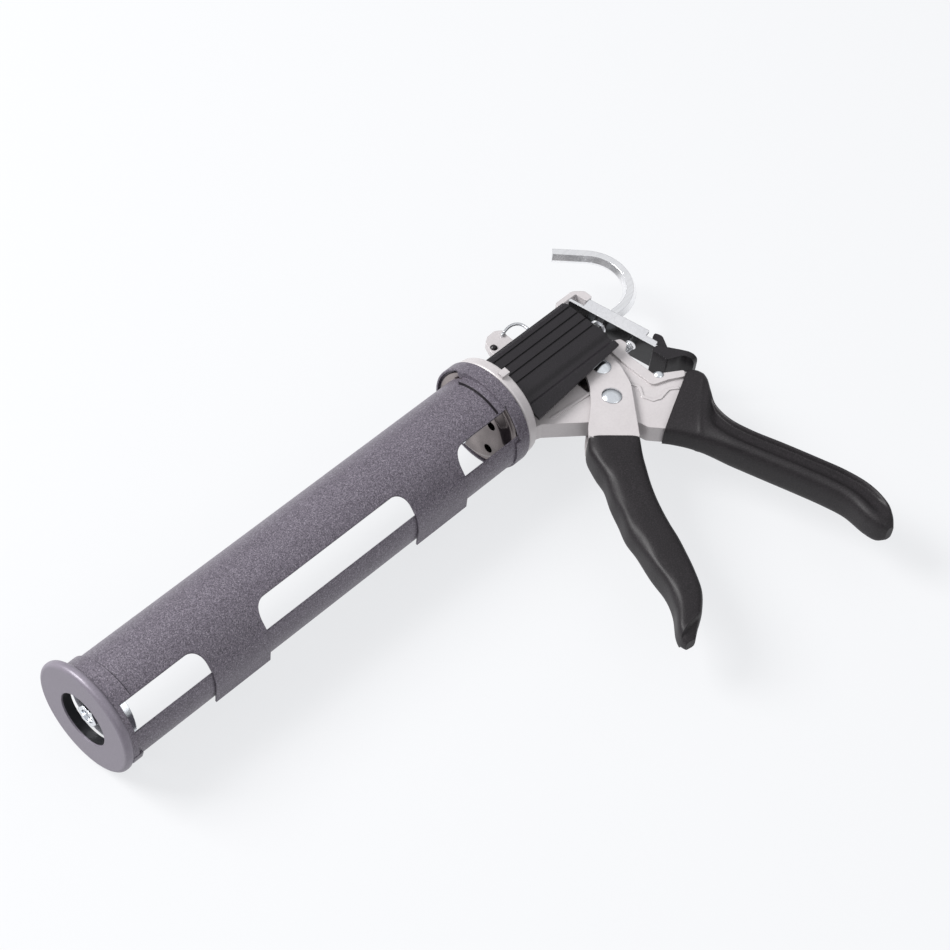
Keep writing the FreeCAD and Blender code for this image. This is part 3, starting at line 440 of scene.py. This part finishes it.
def build_handle_grip():
    """Rubber handle grip: an I section with a long hollow in each side."""
    front = [(-323.0, 72.0), (-326.0, 75.6), (-330.0, 82.0), (-333.2, 88.6), (-336.0, 96.0),
             (-338.6, 104.4), (-341.8, 114.0), (-345.6, 125.8), (-349.8, 139.0), (-353.8, 152.5),
             (-356.2, 164.5), (-355.2, 177.0), (-355.8, 184.6), (-358.6, 188.8)]
    rear = [(-363.2, 53.2), (-366.8, 57.6), (-366.6, 63.4), (-361.6, 70.2), (-355.6, 78.4),
            (-353.6, 89.5), (-356.0, 102.5), (-361.4, 118.5), (-367.0, 136.0), (-371.8, 152.5),
            (-373.6, 166.5), (-371.6, 178.5), (-367.2, 185.6), (-363.0, 189.6)]
    halves = [7.6, 8.2, 8.8, 9.3, 9.6, 9.8, 9.9, 10.0, 10.0, 10.0, 9.8, 9.2, 7.8, 4.6]

    def relief(s, u):
        along = step(0.20, 0.32, s) * step(0.92, 0.80, s)
        hollow = 0.32 * step(-0.74, -0.50, u) * step(0.55, 0.0, u) * along
        ridge = 0.05 * math.exp(-((s - 0.17 - 0.05 * u) / 0.012) ** 2)
        return 1.0 - hollow + ridge

    def section(s):
        return 0.34 + 0.22 * step(0.0, 0.3, s)

    data = moulded_bar("handle_grip_rubber", front, rear, halves, section, relief)
    grip = add_object("handle_grip_rubber", data, "frame_body", "grip_rubber")
    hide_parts("handle_grip")


# Each spring: its joint, where its fixed end stands in mm, and the share of its length left
# when the joint has pressed it as far as it goes.
SPRINGS = (("drive_spring", "drive_stroke", -285.5, 0.775),
           ("release_spring", "release_tilt", -352.0, 0.60))


def build_springs():
    """The two coil springs again, as pieces of their own on the frame body."""
    for node, joint, seat, keep in SPRINGS:
        data = nodes[node].data.copy()
        data.transform(nodes[node].matrix_world)
        coil = add_object(node + "_coil", data, "frame_body", "spring_steel")
        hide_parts(node)
        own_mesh(coil)


build_trigger_grip()
build_handle_grip()
build_springs()


# ---------------------------------------------------------------- camera

VIEW_AZIMUTH = 127.34
VIEW_ELEVATION = 51.55
VIEW_ROLL = 7.94
CAMERA_PLACE = (0.4033, 0.5109, 1.0113)
SENSOR_WIDTH = 36.0
LENS = 98.53
NEAREST = 0.01


def look(azimuth, elevation, roll):
    """The camera's right, up and back directions, with angles in degrees."""
    a, e, r = (math.radians(v) for v in (azimuth, elevation, roll))
    back = Vector((math.sin(a) * math.cos(e), -math.cos(a) * math.cos(e), math.sin(e)))
    level = Vector((math.cos(a), math.sin(a), 0.0))
    rise = back.cross(level)
    return (level * math.cos(r) + rise * math.sin(r), rise * math.cos(r) - level * math.sin(r), back)


right, up, back = look(VIEW_AZIMUTH, VIEW_ELEVATION, VIEW_ROLL)
turn = Matrix((right, up, back)).transposed().to_4x4()
camera = bpy.data.objects.new("camera", bpy.data.cameras.new("camera"))
bpy.context.scene.collection.objects.link(camera)
camera.data.sensor_width = SENSOR_WIDTH
camera.data.lens = LENS
camera.data.clip_start = NEAREST
camera.matrix_world = Matrix.Translation(CAMERA_PLACE) @ turn
bpy.context.scene.camera = camera


# ---------------------------------------------------------------- floor, light

SUBJECT = (cad_box[0] + cad_box[1]) / 2
FLOOR_HALF = 6.0
FLOOR_GAP = 0.0002
FLOOR_SHADE = (0.14, 0.140, 0.141, 1.0)
FLOOR_GLOW = 0.74
COOL_WHITE = (0.97, 0.98, 1.0, 1.0)
HORIZON_SHADE = (0.07, 0.07, 0.08, 1.0)
HORIZON_TOP = 0.70
WORLD_LEVEL = 0.82
LAMP_DISTANCE = 2.2


def build_floor():
    """A wide floor just under the object's lowest point, pale because it glows."""
    mesh = bmesh.new()
    bmesh.ops.create_grid(mesh, x_segments=1, y_segments=1, size=FLOOR_HALF)
    data = bpy.data.meshes.new("floor")
    mesh.to_mesh(data)
    mesh.free()
    floor = bpy.data.objects.new("floor", data)
    floor.location = (0.0, 0.0, cad_box[0].z - FLOOR_GAP)
    bpy.context.scene.collection.objects.link(floor)
    paint = Paint("floor_paper", Roughness=0.9, Base_Color=FLOOR_SHADE)
    paint.shader.inputs["Specular IOR Level"].default_value = 0.1
    paint.shader.inputs["Emission Color"].default_value = COOL_WHITE
    paint.shader.inputs["Emission Strength"].default_value = FLOOR_GLOW
    data.materials.append(paint.material)


def build_lamp(name, way, width, power):
    """A square soft light facing the object from a direction."""
    light = bpy.data.lights.new(name, "AREA")
    light.size = width
    light.energy = power
    lamp = bpy.data.objects.new(name, light)
    way = way.normalized()
    lamp.location = SUBJECT + way * LAMP_DISTANCE
    lamp.rotation_mode = "QUATERNION"
    lamp.rotation_quaternion = way.to_track_quat("Z", "Y")
    bpy.context.scene.collection.objects.link(lamp)


def build_world():
    """A pale sky that falls off to dark grey at the horizon."""
    world = bpy.data.worlds.new("studio")
    world.use_nodes = True
    tree = world.node_tree
    coords = tree.nodes.new("ShaderNodeTexCoord")
    split = tree.nodes.new("ShaderNodeSeparateXYZ")
    ramp = tree.nodes.new("ShaderNodeValToRGB")
    ramp.color_ramp.elements[0].position = 0.0
    ramp.color_ramp.elements[0].color = HORIZON_SHADE
    ramp.color_ramp.elements[1].position = HORIZON_TOP
    ramp.color_ramp.elements[1].color = COOL_WHITE
    tree.links.new(coords.outputs["Generated"], split.inputs["Vector"])
    tree.links.new(split.outputs["Z"], ramp.inputs["Fac"])
    tree.links.new(ramp.outputs["Color"], tree.nodes["Background"].inputs["Color"])
    tree.nodes["Background"].inputs["Strength"].default_value = WORLD_LEVEL
    bpy.context.scene.world = world


build_floor()
build_world()
build_lamp("key", -0.95 * right + 0.75 * up + 0.7 * back, 1.1, 70.0)
build_lamp("fill", 0.9 * right - 0.2 * up + 0.9 * back, 1.4, 8.0)
bpy.context.scene.view_settings.view_transform = "Standard"
